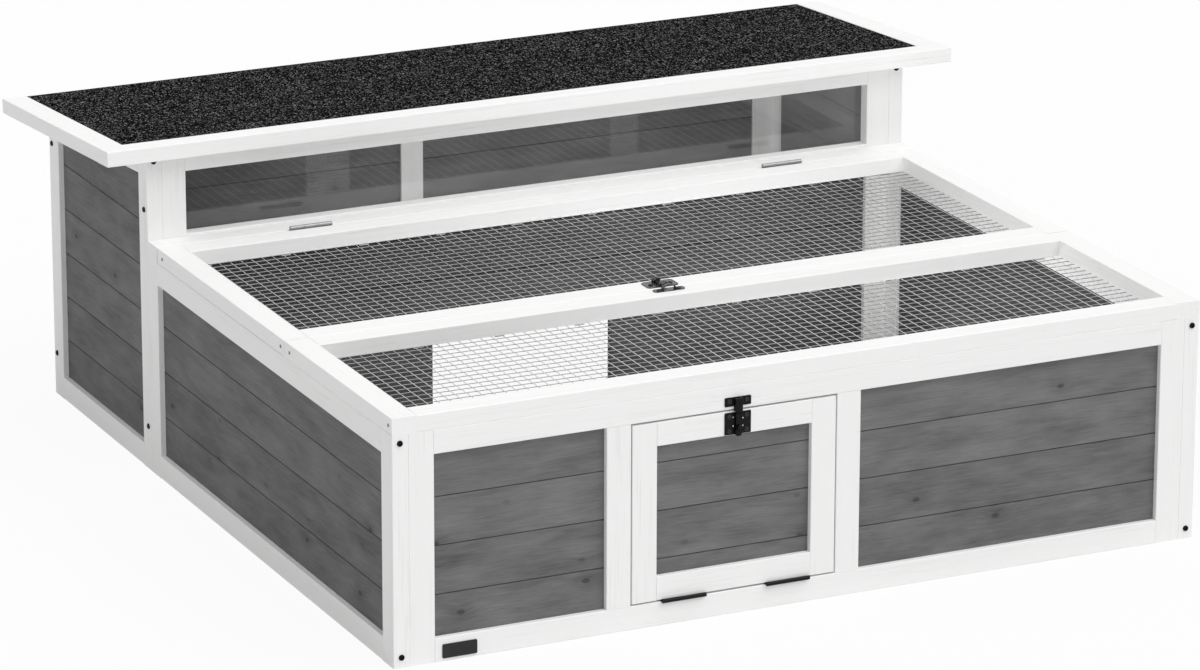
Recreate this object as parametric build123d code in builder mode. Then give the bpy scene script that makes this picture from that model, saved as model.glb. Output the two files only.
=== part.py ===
from build123d import *
import os
from math import cos, radians, sin, tan

os.makedirs("parts", exist_ok=True)

# Tortoise house: a low run with mesh panels on top, and a sleeping house behind it under a felted roof.
# X runs to the right, Y to the back and Z up. The origin is on the ground, under the middle of the whole.

# Timber
wall = 18.0  # thickness of every wall, lid and strip
stile = 28.6  # width of the upright and lid timber
rail = 26.2  # width of the level timber in the walls
eased = 0.6  # chamfer along each board's long edges
groove = 4.5  # depth of the groove that holds a panel

# Tongued planks
plank = 7.5  # thickness
recess = 6.5  # how far a plank lies behind the outer face of its wall
plank_pitch = 53.3
first_seam = 71.5  # height of the lowest seam between planks
plank_gap = 0.8
tongue_near, tongue_far = 2.4, 5.1  # the groove's sides, measured into the plank
tongue_play = 0.15
tongue_reach = 3.0
tongue_slot = 3.2

# Walls
width = 950.0
run_depth = 683.4  # front face to the front of the sleeping house
wall_depth = 996.0  # front face to back face
run_height = 253.2
house_stile = 25.6  # front upright of the house's side walls
house_rail = 21.0
back_middle_stile = -25.5  # centre of the back wall's middle upright

# Front wall, from its left end stile
short_panel = 195.3
door_opening = 240.4
door_stile = 28.0

# Divider between run and house
doorway_left, doorway_right = -127.0, 99.0
doorway_height = 118.0
pane_bottom, pane_top = 274.0, 346.8
pane = 3.0
pane_lap = 5.5  # how far the pane reaches behind its frame

# Roof
roof_overhang = 53.0  # past each side wall
roof_front = 662.0  # front face of the run to the roof's front edge
roof_front_height = 368.4  # underside of the roof's front edge
roof_slope = 4.12  # degrees, down to the back
roof_length = 342.0
roof_thickness = 17.0
front_trim = 30.5
side_trim = 29.3
felt = 2.0
felt_drop = 0.6  # the felt lies this far below the top of the trim

# Mesh panels
panel_depth = 285.6
lid_gap = 0.9  # between the fixed panel and the lid
net = 1.1  # thickness of the welded net
net_wire = 1.2
net_lap = 9.0  # how far the net reaches under its frame
net_pitch = 44.45

# Hinges
seam = 2.0  # gap that holds two hinge leaves
leaf = 0.8
leaf_reach = 15.4
hinge_length = 51.0
knuckles = 3
knuckle_gap = 0.35
barrel = 2.25  # radius
barrel_stand = 2.4  # axis to the face of the timber
pin = 1.0  # radius
pin_play = 0.05
door_hinges = (-144.0, -22.0)
lid_hinges = (-290.0, 302.5)
roof_hinges = (-300.0, 300.0)

# Latches
latch_plate = 1.0
latch_clear = 0.3
bolt_width = 6.4
bolt_thickness = 2.4
bolt_length = 26.8
bolt_tip = 0.1  # distance of the bolt's tip behind the edge when it is drawn back
knob = 2.5  # radius
knob_top = 7.0  # above the timber
strap = 0.9
door_latch_x, door_latch_width, door_latch_corner = -82.2, 30.5, 1.0
lid_latch_x, lid_latch_width, lid_latch_corner = -28.0, 37.5, 4.2

# Places that follow from these sizes
slope = radians(roof_slope)
roof_back = roof_front + roof_length * cos(slope) + roof_thickness * sin(slope)
front = -(roof_back - knob_top) / 2  # Y of the front face
back = front + wall_depth
half = width / 2
inner = half - wall
house_front = front + run_depth
divider_back = house_front + wall
panel_top = run_height + wall
lid_front = front + panel_depth + lid_gap
strip_front = house_front - (stile - 1.5)
lid_back = strip_front - seam
lid_bottom = run_height + latch_clear
opening_left = -inner + stile + short_panel + door_stile
opening_right = opening_left + door_opening
top_rail_bottom = run_height - rail

roof_plane = Plane(
    origin=(0, front + roof_front, roof_front_height), x_dir=(1, 0, 0), z_dir=(0, sin(slope), cos(slope))
)
wall_top_plane = roof_plane.offset(-latch_clear)
back_top_plane = roof_plane.offset(-seam)


def save(piece, name):
    """Label one finished piece and write it."""
    piece.part.label = name
    export_step(piece.part, f"parts/{name}.step")


def under_roof(y, drop):
    """Height at y of the line that runs drop below the roof's underside."""
    return roof_front_height - (y - front - roof_front) * tan(slope) - drop / cos(slope)


def facing_front(y):
    """Plane of a wall face at y, seen from the front."""
    return Plane.XZ.offset(-y)


def fill(across, up):
    """Draw a rectangle over the spans across and up."""
    with Locations((sum(across) / 2, sum(up) / 2)):
        Rectangle(across[1] - across[0], up[1] - up[0])


def boards(plane, spans, depth, long_way):
    """Add boards drawn on a wall's outer face, with their long edges eased."""
    with BuildSketch(plane) as outline:
        for across, up in spans:
            fill(across, up)
    extrude(outline.sketch, amount=-depth)
    chamfer(edges().filter_by(long_way), eased)


def plough(plane, across, up, inward):
    """Cut the groove that a panel of planks sits in, all round its opening."""
    with BuildSketch(plane.offset(-inward * recess)) as outline:
        fill((across[0] - groove, across[1] + groove), (up[0] - groove, up[1] + groove))
    extrude(outline.sketch, amount=-inward * plank, mode=Mode.SUBTRACT)


def plank_outline(low, high):
    """Corners of one plank's section, tongued at the top, grooved at the bottom and eased on its face."""
    near, far = recess, recess + plank
    slot_near, slot_far = near + tongue_near, near + tongue_far
    return (
        (near, low + eased),
        (near + eased, low),
        (slot_near, low),
        (slot_near, low + tongue_slot),
        (slot_far, low + tongue_slot),
        (slot_far, low),
        (far, low),
        (far, high),
        (slot_far - tongue_play, high),
        (slot_far - tongue_play, high + tongue_reach),
        (slot_near + tongue_play, high + tongue_reach),
        (slot_near + tongue_play, high),
        (near + eased, high),
        (near, high - eased),
    )


def planks(start, inward, length, low, high):
    """Stack planks from low to high, running from start to the right of someone who looks inward."""
    along = Vector(*inward).cross(Vector(0, 0, 1))
    section = Plane(origin=start, x_dir=inward, z_dir=along)
    seams = [first_seam + plank_pitch * step for step in range(6)]
    levels = [low] + [level for level in seams if low < level < high] + [high]
    for bottom, top in zip(levels, levels[1:]):
        with BuildSketch(section) as outline:
            with BuildLine():
                Polyline(*plank_outline(bottom + plank_gap / 2, top - plank_gap / 2), close=True)
            make_face()
        extrude(outline.sketch, amount=length)
    top_face = Plane(origin=(0, 0, high))
    split(bisect_by=top_face, keep=Keep.BOTTOM)


# Side walls, each with a low part beside the run and a tall part beside the house
run_back = strip_front
run_post = (run_back, house_front)
house_post = (house_front, house_front + house_stile)
rear_post = (back - stile, back)
run_open = (front + stile, run_back)
house_open = (house_post[1], rear_post[0])
slope_way = Axis((0, 0, 0), (0, cos(slope), -sin(slope)))


def under_roof_band(ends, top_drop, bottom_drop):
    """Corners of a band in a side wall that follows the roof."""
    top = [(y, under_roof(y, top_drop)) for y in ends]
    bottom = [(y, under_roof(y, bottom_drop)) for y in ends]
    return top + bottom[::-1]


def plough_under_roof(plane, inward):
    """Cut the groove of the house's side panel, whose top follows the roof."""
    near, far = house_open[0] - groove, house_open[1] + groove
    top = [(y, under_roof(y, house_rail - groove)) for y in (far, near)]
    with BuildSketch(plane.offset(-inward * recess)) as outline:
        with BuildLine():
            Polyline((near, rail - groove), (far, rail - groove), *top, close=True)
        make_face()
    extrude(outline.sketch, amount=-inward * plank, mode=Mode.SUBTRACT)


for side, hand in ((-1, "left"), (1, "right")):
    face = Plane.YZ.offset(side * half)
    inward = (-side, 0, 0)

    with BuildPart() as run_stiles:
        spans = [((front, run_open[0]), (0, run_height)), (run_post, (0, run_height))]
        boards(face, spans, side * wall, Axis.Z)
        plough(face, run_open, (rail, top_rail_bottom), side)
    save(run_stiles, f"{hand}_run_stiles")

    with BuildPart() as run_rails:
        spans = [(run_open, (0, rail)), (run_open, (top_rail_bottom, run_height))]
        boards(face, spans, side * wall, Axis.Y)
        plough(face, run_open, (rail, top_rail_bottom), side)
    save(run_rails, f"{hand}_run_rails")

    with BuildPart() as run_planks:
        reach = run_open[1] - run_open[0] + 2 * groove
        start_y = run_open[0] - groove if side > 0 else run_open[1] + groove
        planks((side * half, start_y, 0), inward, reach, rail - groove, top_rail_bottom + groove)
    save(run_planks, f"{hand}_run_planks")

    with BuildPart() as house_stiles:
        tall = roof_front_height
        boards(face, [(house_post, (0, tall)), (rear_post, (0, tall))], side * wall, Axis.Z)
        split(bisect_by=wall_top_plane, keep=Keep.BOTTOM)
        plough_under_roof(face, side)
    save(house_stiles, f"{hand}_house_stiles")

    with BuildPart() as house_rails:
        boards(face, [(house_open, (0, rail))], side * wall, Axis.Y)
        with BuildSketch(face):
            with BuildLine():
                Polyline(*under_roof_band(house_open, latch_clear, house_rail), close=True)
            make_face()
        extrude(amount=-side * wall)
        chamfer(edges().filter_by(slope_way), eased)
        plough_under_roof(face, side)
    save(house_rails, f"{hand}_house_rails")

    with BuildPart() as house_planks:
        reach = house_open[1] - house_open[0] + 2 * groove
        start_y = house_open[0] - groove if side > 0 else house_open[1] + groove
        planks((side * half, start_y, 0), inward, reach, rail - groove, roof_front_height)
        split(bisect_by=roof_plane.offset(groove - house_rail), keep=Keep.BOTTOM)
    save(house_planks, f"{hand}_house_planks")

# Front wall between the side walls
face = facing_front(front)
short_open = (-inner + stile, opening_left - door_stile)
long_open = (opening_right + door_stile, inner - stile)
between_rails = (rail, top_rail_bottom)

with BuildPart() as front_stiles:
    spans = [
        ((-inner, short_open[0]), (0, run_height)),
        ((short_open[1], opening_left), between_rails),
        ((opening_right, long_open[0]), between_rails),
        ((long_open[1], inner), (0, run_height)),
    ]
    boards(face, spans, wall, Axis.Z)
    plough(face, short_open, between_rails, 1)
    plough(face, long_open, between_rails, 1)
save(front_stiles, "front_stiles")

with BuildPart() as front_rails:
    reach = (short_open[0], long_open[1])
    boards(face, [(reach, (0, rail)), (reach, (top_rail_bottom, run_height))], wall, Axis.X)
    plough(face, short_open, between_rails, 1)
    plough(face, long_open, between_rails, 1)
save(front_rails, "front_rails")

for panel_name, opening in (("front_left_planks", short_open), ("front_right_planks", long_open)):
    with BuildPart() as front_planks:
        reach = opening[1] - opening[0] + 2 * groove
        start = (opening[0] - groove, front, 0)
        planks(start, (0, 1, 0), reach, rail - groove, top_rail_bottom + groove)
    save(front_planks, panel_name)

# Divider, which is the front of the house
face = facing_front(house_front)
divider_open = (-inner + stile, inner - stile)
divider_rail_bottom = pane_bottom - rail
doorway = (doorway_left, doorway_right)
glazed = (
    (divider_open[0] - pane_lap, divider_open[1] + pane_lap),
    (pane_bottom - pane_lap, pane_top + pane_lap),
)

with BuildPart() as divider_stiles:
    spans = [((end, end + stile), (0, roof_front_height)) for end in (-inner, inner - stile)]
    boards(face, spans, wall, Axis.Z)
    split(bisect_by=wall_top_plane, keep=Keep.BOTTOM)
    plough(face, divider_open, (rail, divider_rail_bottom), 1)
    with BuildSketch(facing_front(divider_back)):
        fill(*glazed)
    extrude(amount=pane, mode=Mode.SUBTRACT)
save(divider_stiles, "divider_stiles")

with BuildPart() as divider_rails:
    spans = [
        ((divider_open[0], doorway_left), (0, rail)),
        ((doorway_right, divider_open[1]), (0, rail)),
        (divider_open, (divider_rail_bottom, pane_bottom)),
        (divider_open, (pane_top, roof_front_height)),
    ]
    boards(face, spans, wall, Axis.X)
    split(bisect_by=wall_top_plane, keep=Keep.BOTTOM)
    plough(face, divider_open, (rail, divider_rail_bottom), 1)
    with BuildSketch(facing_front(divider_back)):
        fill(*glazed)
    extrude(amount=pane, mode=Mode.SUBTRACT)
save(divider_rails, "divider_rails")

with BuildPart() as divider_planks:
    reach = divider_open[1] - divider_open[0] + 2 * groove
    start = (divider_open[0] - groove, house_front, 0)
    planks(start, (0, 1, 0), reach, rail - groove, divider_rail_bottom + groove)
    with BuildSketch(face):
        fill(doorway, (0, doorway_height))
    extrude(amount=-wall, mode=Mode.SUBTRACT)
save(divider_planks, "divider_planks")

with BuildPart() as window_pane:
    with BuildSketch(facing_front(divider_back)):
        fill(*glazed)
    extrude(amount=pane)
save(window_pane, "window_pane")

# Back wall, lower than the others by the seam that holds the roof's hinge leaves
face = facing_front(back - wall)
back_ends = (-inner + stile, inner - stile)
middle = (back_middle_stile - stile / 2, back_middle_stile + stile / 2)
back_rail_bottom = under_roof(back, seam + rail)
back_opens = ((back_ends[0], middle[0]), (middle[1], back_ends[1]))
back_recess = wall - recess - plank
back_groove_face = face.offset(recess - back_recess)

with BuildPart() as back_stiles:
    spans = [
        ((-inner, back_ends[0]), (0, roof_front_height)),
        (middle, (rail, back_rail_bottom)),
        ((back_ends[1], inner), (0, roof_front_height)),
    ]
    boards(face, spans, wall, Axis.Z)
    split(bisect_by=back_top_plane, keep=Keep.BOTTOM)
    for opening in back_opens:
        plough(back_groove_face, opening, (rail, back_rail_bottom), 1)
save(back_stiles, "back_stiles")

with BuildPart() as back_rails:
    spans = [(back_ends, (0, rail)), (back_ends, (back_rail_bottom, roof_front_height))]
    boards(face, spans, wall, Axis.X)
    split(bisect_by=back_top_plane, keep=Keep.BOTTOM)
    for opening in back_opens:
        plough(back_groove_face, opening, (rail, back_rail_bottom), 1)
save(back_rails, "back_rails")

with BuildPart() as back_planks:
    for opening in back_opens:
        reach = opening[1] - opening[0] + 2 * groove
        start = (opening[1] + groove, back, 0)
        planks(start, (0, -1, 0), reach, rail - groove, back_rail_bottom + groove)
save(back_planks, "back_planks")

# Strip on top of the side walls, against the divider
with BuildPart() as hinge_strip:
    boards(Plane.XY.offset(panel_top), [((-half, half), (strip_front, house_front))], wall, Axis.X)
save(hinge_strip, "hinge_strip")


def mesh_frame(prefix, near, far, bottom):
    """Make the frame and net of one mesh panel, from near to far in Y."""
    top = Plane.XY.offset(panel_top)
    depth = panel_top - bottom

    with BuildPart() as side_rails:
        spans = [((end, end + stile), (near, far)) for end in (-half, half - stile)]
        boards(top, spans, depth, Axis.Y)
    save(side_rails, f"{prefix}_side_rails")

    with BuildPart() as cross_rails:
        ends = (stile - half, half - stile)
        boards(top, [(ends, (near, near + stile)), (ends, (far - stile, far))], depth, Axis.X)
    save(cross_rails, f"{prefix}_cross_rails")

    open_depth = far - near - 2 * stile
    open_width = width - 2 * stile
    columns, rows = round(open_width / net_pitch), round(open_depth / net_pitch)
    column_pitch, row_pitch = open_width / columns, open_depth / rows
    with BuildPart() as welded_net:
        with BuildSketch(Plane.XY.offset(bottom)):
            with Locations((0, (near + far) / 2)):
                Rectangle(open_width + 2 * net_lap, open_depth + 2 * net_lap)
                with GridLocations(column_pitch, row_pitch, columns, rows):
                    Rectangle(column_pitch - net_wire, row_pitch - net_wire, mode=Mode.SUBTRACT)
        extrude(amount=-net)
    save(welded_net, f"{prefix}_mesh")


mesh_frame("front_panel", front, front + panel_depth, run_height)
mesh_frame("lid", lid_front, lid_back, lid_bottom)

# Front door
door_left = opening_left + (door_opening - 237.6) / 2
door_right = opening_right - (door_opening - 237.6) / 2
door_bottom = rail + seam
door_top = top_rail_bottom - seam
face = facing_front(front)
door_open = ((door_left + stile, door_right - stile), (door_bottom + rail, door_top - rail))

with BuildPart() as door_stiles:
    spans = [((end, end + stile), (door_bottom, door_top)) for end in (door_left, door_right - stile)]
    boards(face, spans, wall, Axis.Z)
    plough(face, *door_open, 1)
save(door_stiles, "door_stiles")

with BuildPart() as door_rails:
    spans = [(door_open[0], (door_bottom, door_bottom + rail)), (door_open[0], (door_top - rail, door_top))]
    boards(face, spans, wall, Axis.X)
    plough(face, *door_open, 1)
save(door_rails, "door_rails")

with BuildPart() as door_planks:
    reach = door_open[0][1] - door_open[0][0] + 2 * groove
    start = (door_open[0][0] - groove, front, 0)
    planks(start, (0, 1, 0), reach, door_open[1][0] - groove, door_open[1][1] + groove)
save(door_planks, "door_planks")

# Roof
roof_half = half + roof_overhang
board_thickness = roof_thickness - felt - felt_drop
covered = roof_half - side_trim

with BuildPart() as roof_front_trim:
    spans = [((-roof_half, roof_half), (0, front_trim))]
    boards(roof_plane.offset(roof_thickness), spans, roof_thickness, Axis.X)
save(roof_front_trim, "roof_front_trim")

with BuildPart() as roof_side_trims:
    ends = (-roof_half, covered)
    spans = [((end, end + side_trim), (front_trim, roof_length)) for end in ends]
    boards(roof_plane.offset(roof_thickness), spans, roof_thickness, slope_way)
save(roof_side_trims, "roof_side_trims")

with BuildPart() as roof_board:
    with BuildSketch(roof_plane):
        fill((-covered, covered), (front_trim, roof_length - felt))
    extrude(amount=board_thickness)
save(roof_board, "roof_board")

with BuildPart() as roof_felt:
    with BuildSketch(roof_plane):
        fill((-covered, covered), (front_trim, roof_length))
    extrude(amount=board_thickness + felt)
    with BuildSketch(roof_plane):
        fill((-covered, covered), (front_trim, roof_length - felt))
    extrude(amount=board_thickness, mode=Mode.SUBTRACT)
save(roof_felt, "roof_felt")

# Hinges: each axis plane has X along the pin, Y into the seam and Z towards the leaf that moves
roof_axis_drop = barrel + latch_clear
door_axes = [
    Plane(origin=(x, front - barrel_stand, rail + seam / 2), x_dir=(1, 0, 0), z_dir=(0, 0, 1))
    for x in door_hinges
]
lid_axes = [
    Plane(origin=(x, lid_back + seam / 2, panel_top + barrel_stand), x_dir=(-1, 0, 0), z_dir=(0, -1, 0))
    for x in lid_hinges
]
roof_axis_y = back + barrel_stand
roof_axes = [
    Plane(
        origin=(x, roof_axis_y, under_roof(roof_axis_y, roof_axis_drop)),
        x_dir=(-1, 0, 0),
        z_dir=(0, sin(slope), cos(slope)),
    )
    for x in roof_hinges
]


def on_axis(axes, x, y=0.0, z=0.0, turn=(0, 0, 0)):
    """The same local place on each hinge axis."""
    return Locations(*(axis.location * Location((x, y, z), turn) for axis in axes))


def hinge_leaf(name, axes, middle_height, own, others):
    """Make one leaf per hinge, with its own knuckles and notches for the others."""
    knuckle_pitch = hinge_length / knuckles
    knuckle_length = knuckle_pitch - knuckle_gap

    def centre(number):
        return (number - (knuckles - 1) / 2) * knuckle_pitch

    with BuildPart() as leaves:
        with on_axis(axes, 0, leaf_reach / 2, middle_height):
            Box(hinge_length, leaf_reach, leaf)
        for number in others:
            with on_axis(axes, centre(number), turn=(0, 90, 0)):
                Cylinder(barrel + latch_clear, knuckle_pitch + knuckle_gap, mode=Mode.SUBTRACT)
        for number in own:
            with on_axis(axes, centre(number), turn=(0, 90, 0)):
                Cylinder(barrel, knuckle_length)
        with on_axis(axes, 0, turn=(0, 90, 0)):
            Cylinder(pin + pin_play, hinge_length, mode=Mode.SUBTRACT)
    save(leaves, name)


def hinge_pins(name, axes):
    """Make the pin of each hinge, with its ends flush with the outer knuckles."""
    with BuildPart() as pins:
        with on_axis(axes, 0, turn=(0, 90, 0)):
            Cylinder(pin, hinge_length - knuckle_gap)
    save(pins, name)


leaf_centre = (seam - leaf) / 2
fixed_knuckles, moving_knuckles = (0, 2), (1,)
hinge_leaf("door_hinge_frame_leaves", door_axes, -leaf_centre, fixed_knuckles, moving_knuckles)
hinge_leaf("door_hinge_door_leaves", door_axes, leaf_centre, moving_knuckles, fixed_knuckles)
hinge_pins("door_hinge_pins", door_axes)
hinge_leaf("lid_hinge_strip_leaves", lid_axes, -leaf_centre, fixed_knuckles, moving_knuckles)
hinge_leaf("lid_hinge_lid_leaves", lid_axes, leaf_centre, moving_knuckles, fixed_knuckles)
hinge_pins("lid_hinge_pins", lid_axes)
roof_leaf = roof_axis_drop - leaf / 2
hinge_leaf("roof_hinge_roof_leaves", roof_axes, roof_leaf, moving_knuckles, fixed_knuckles)
wall_leaf = roof_axis_drop - seam + leaf / 2
hinge_leaf("roof_hinge_wall_leaves", roof_axes, wall_leaf, fixed_knuckles, moving_knuckles)
hinge_pins("roof_hinge_pins", roof_axes)

# Latches: each plane has its origin on the edge of the door or lid, Y towards the keeper and Z outwards
door_latch = Plane(origin=(door_latch_x, front, door_top), x_dir=(1, 0, 0), z_dir=(0, -1, 0))
lid_latch = Plane(origin=(lid_latch_x, lid_front, panel_top), x_dir=(-1, 0, 0), z_dir=(0, 0, 1))
bolt_bottom = latch_plate + latch_clear
tunnel_width = bolt_width + 2 * latch_clear
tunnel_height = bolt_bottom + bolt_thickness + latch_clear
plate_span = (-25.4, -1.2)
keeper_span = (5.6, 15.4)
keeper_sleeve = (0.4, 14.6)
guide_spans = ((-5.2, -2.2), (-23.4, -19.9))
knob_rest = guide_spans[1][1] + knob + latch_clear


def strap_over(plane, span):
    """Add a strap that bridges the bolt over a span of its travel."""
    across = Plane(origin=plane.from_local_coords((0, span[0], 0)), x_dir=plane.x_dir, z_dir=plane.y_dir)
    outer_width = tunnel_width + 2 * strap
    outer_height = tunnel_height + strap
    with BuildSketch(across) as section:
        with Locations((0, -outer_height / 2)):
            Rectangle(outer_width, outer_height)
        fillet(section.vertices().group_by(Axis.Y)[0], strap * 1.4)
    extrude(section.sketch, amount=span[1] - span[0])


def clear_tunnel(plane, span, floor):
    """Cut the way of the bolt above floor, over a span of its travel."""
    with BuildSketch(plane.offset(floor)) as way:
        fill((-tunnel_width / 2, tunnel_width / 2), span)
    extrude(way.sketch, amount=tunnel_height - floor, mode=Mode.SUBTRACT)


def latch(prefix, plane, latch_width, corner):
    """Make a latch: the plate with its guides, the sliding bolt and the keeper."""
    ends = (-latch_width / 2, latch_width / 2)

    with BuildPart() as base:
        with BuildSketch(plane) as outline:
            fill(ends, plate_span)
            fillet(outline.vertices(), corner)
        extrude(amount=latch_plate)
        for span in guide_spans:
            strap_over(plane, span)
        for span in guide_spans:
            clear_tunnel(plane, (span[0] - 0.1, span[1] + 0.1), latch_plate)
    save(base, f"{prefix}_latch_plate")

    with BuildPart() as sliding_bolt:
        with BuildSketch(plane.offset(bolt_bottom)):
            fill((-bolt_width / 2, bolt_width / 2), (-bolt_tip - bolt_length, -bolt_tip))
        extrude(amount=bolt_thickness)
        chamfer(edges().filter_by(Axis((0, 0, 0), plane.z_dir)), 2 * eased)
        with BuildSketch(plane.offset(bolt_bottom + bolt_thickness)):
            with Locations((0, knob_rest)):
                Circle(knob)
        extrude(amount=knob_top - bolt_bottom - bolt_thickness)
        chamfer(faces().sort_by(Axis((0, 0, 0), plane.z_dir))[-1].edges(), eased)
    save(sliding_bolt, f"{prefix}_bolt")

    with BuildPart() as keeper:
        with BuildSketch(plane) as outline:
            fill(ends, keeper_span)
            fillet(outline.vertices(), corner)
        extrude(amount=latch_plate)
        strap_over(plane, keeper_sleeve)
        clear_tunnel(plane, (keeper_sleeve[0] - 0.1, keeper_span[0]), 0)
        clear_tunnel(plane, (keeper_span[0] - 0.1, keeper_sleeve[1] - strap), latch_plate)
    save(keeper, f"{prefix}_keeper")


latch("door", door_latch, door_latch_width, door_latch_corner)
latch("lid", lid_latch, lid_latch_width, lid_latch_corner)
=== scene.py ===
import math

import bpy
from mathutils import Matrix, Quaternion, Vector


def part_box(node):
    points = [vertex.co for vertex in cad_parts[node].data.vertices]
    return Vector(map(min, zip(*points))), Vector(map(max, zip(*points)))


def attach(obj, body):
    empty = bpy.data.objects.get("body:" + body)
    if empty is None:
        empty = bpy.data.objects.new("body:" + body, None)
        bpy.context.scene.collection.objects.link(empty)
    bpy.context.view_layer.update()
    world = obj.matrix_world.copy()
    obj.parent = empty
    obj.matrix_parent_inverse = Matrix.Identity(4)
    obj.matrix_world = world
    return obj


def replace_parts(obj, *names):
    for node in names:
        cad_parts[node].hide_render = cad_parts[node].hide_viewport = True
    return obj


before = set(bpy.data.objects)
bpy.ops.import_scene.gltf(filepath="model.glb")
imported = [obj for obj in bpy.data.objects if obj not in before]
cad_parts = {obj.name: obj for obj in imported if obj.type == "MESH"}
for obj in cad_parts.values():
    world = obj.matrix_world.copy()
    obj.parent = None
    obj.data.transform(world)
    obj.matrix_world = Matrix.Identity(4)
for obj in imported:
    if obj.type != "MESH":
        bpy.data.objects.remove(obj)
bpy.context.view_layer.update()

bl_info = {
    "name": "Tortoise House",
    "version": (1, 0, 0),
    "blender": (4, 5, 0),
    "location": "3D View > Sidebar > Tortoise House",
    "description": "Finishes, welded mesh, fixings and stage of a tortoise house",
    "category": "Object",
}

MM = 0.001
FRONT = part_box("front_rails")[0].y
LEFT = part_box("left_run_stiles")[0].x
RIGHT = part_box("right_run_stiles")[1].x
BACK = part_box("back_rails")[1].y
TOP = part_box("hinge_strip")[1].z
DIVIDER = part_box("divider_stiles")[1].y
LATCH_PLATE = 1.0 * MM
OUT, UP = (0, -1, 0), (0, 0, 1)

# Nodes whose grain runs along each axis
PAINTED = {
    "X": (
        "front_rails",
        "divider_rails",
        "back_rails",
        "hinge_strip",
        "front_panel_cross_rails",
        "lid_cross_rails",
        "door_rails",
        "roof_front_trim",
        "roof_board",
    ),
    "Y": (
        "left_run_rails",
        "right_run_rails",
        "left_house_rails",
        "right_house_rails",
        "front_panel_side_rails",
        "lid_side_rails",
        "roof_side_trims",
    ),
    "Z": (
        "left_run_stiles",
        "right_run_stiles",
        "left_house_stiles",
        "right_house_stiles",
        "front_stiles",
        "divider_stiles",
        "back_stiles",
        "door_stiles",
    ),
}
STAINED = {
    "X": ("front_left_planks", "front_right_planks", "divider_planks", "back_planks", "door_planks"),
    "Y": ("left_run_planks", "right_run_planks", "left_house_planks", "right_house_planks"),
}
BLACK = (
    "door_hinge_frame_leaves",
    "door_hinge_door_leaves",
    "door_hinge_pins",
    "roof_hinge_wall_leaves",
    "roof_hinge_roof_leaves",
    "roof_hinge_pins",
    "door_latch_plate",
    "door_bolt",
    "door_keeper",
    "lid_latch_plate",
    "lid_bolt",
    "lid_keeper",
)
LID_HINGES = ("lid_hinge_strip_leaves", "lid_hinge_lid_leaves", "lid_hinge_pins")


class HouseColours(bpy.types.PropertyGroup):
    """Colours of the finishes, some of them darkened or paled as painted shade and glints."""

    paint: bpy.props.FloatVectorProperty(
        name="Paint", description="White paint on the timber",
        subtype="COLOR", default=(0.89, 0.89, 0.885),
    )
    grain: bpy.props.FloatVectorProperty(
        name="Grain", description="Grain that shows through the paint",
        subtype="COLOR", default=(0.7, 0.7, 0.69),
    )
    stain_dark: bpy.props.FloatVectorProperty(
        name="Dark Stain", description="Grain and knots of the planks",
        subtype="COLOR", default=(0.075, 0.075, 0.075),
    )
    stain_light: bpy.props.FloatVectorProperty(
        name="Light Stain", description="Palest streaks of the planks",
        subtype="COLOR", default=(0.255, 0.255, 0.255),
    )
    # Painted shade: share by which the run's inner plank faces are blended towards black
    inner_shade_share: bpy.props.FloatProperty(
        name="Inner Faces", description="How much darker the run's inner faces are",
        default=0.52, min=0, max=1,
    )
    felt: bpy.props.FloatVectorProperty(
        name="Felt", description="Bitumen between the granules",
        subtype="COLOR", default=(0.004, 0.004, 0.004),
    )
    granule: bpy.props.FloatVectorProperty(
        name="Granule", description="Palest granules of the felt",
        subtype="COLOR", default=(0.32, 0.32, 0.32),
    )
    hardware: bpy.props.FloatVectorProperty(
        name="Hardware", description="Black paint on hinges and latches",
        subtype="COLOR", default=(0.003, 0.003, 0.003),
    )
    # Partly painted glint: blackened steel, kept paler than the black paint to stand in for glints on the
    # heads' rims
    screw: bpy.props.FloatVectorProperty(
        name="Screws", description="Blackened steel of the latch screws",
        subtype="COLOR", default=(0.045, 0.045, 0.045),
    )
    long_wire: bpy.props.FloatVectorProperty(
        name="Long Wires", description="Zinc of the wires on top",
        subtype="COLOR", default=(0.72, 0.72, 0.72),
    )
    # Painted shade: the cross wires are the long wires' zinc, darkened as if in their shade
    shaded_cross_wire: bpy.props.FloatVectorProperty(
        name="Cross Wires", description="Zinc of the wires below",
        subtype="COLOR", default=(0.23, 0.23, 0.23),
    )
    steel: bpy.props.FloatVectorProperty(
        name="Steel", description="Bare steel of the lid's hinges",
        subtype="COLOR", default=(0.3, 0.3, 0.3),
    )
    floor: bpy.props.FloatVectorProperty(
        name="Floor", description="Floor under the house",
        subtype="COLOR", default=(0.8, 0.8, 0.8),
    )


class HouseSizes(bpy.types.PropertyGroup):
    """Sizes of the pieces that are added to the frame."""

    mesh_pitch: bpy.props.FloatProperty(
        name="Mesh Pitch", description="Side of one square of the mesh",
        default=12.7 * MM, unit="LENGTH",
    )
    wire: bpy.props.FloatProperty(
        name="Wire", description="Diameter of the mesh wire", default=0.9 * MM, unit="LENGTH"
    )
    wire_wave: bpy.props.FloatProperty(
        name="Wire Wave", description="How far a wire bends between two welds",
        default=0.35 * MM, unit="LENGTH",
    )
    bolt_head: bpy.props.FloatProperty(
        name="Bolt Head", description="Diameter of a wall bolt's head",
        default=6.4 * MM, unit="LENGTH",
    )
    badge_width: bpy.props.FloatProperty(
        name="Badge Width", description="Width of the bare plate",
        default=39.2 * MM, unit="LENGTH",
    )
    badge_height: bpy.props.FloatProperty(
        name="Badge Height", description="Height of the bare plate",
        default=15.4 * MM, unit="LENGTH",
    )
    plank_pitch: bpy.props.FloatProperty(
        name="Plank Pitch", description="Height of one plank", default=53.3 * MM, unit="LENGTH"
    )
    first_seam: bpy.props.FloatProperty(
        name="First Seam", description="Height of the lowest seam between planks",
        default=71.5 * MM, unit="LENGTH",
    )


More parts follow.
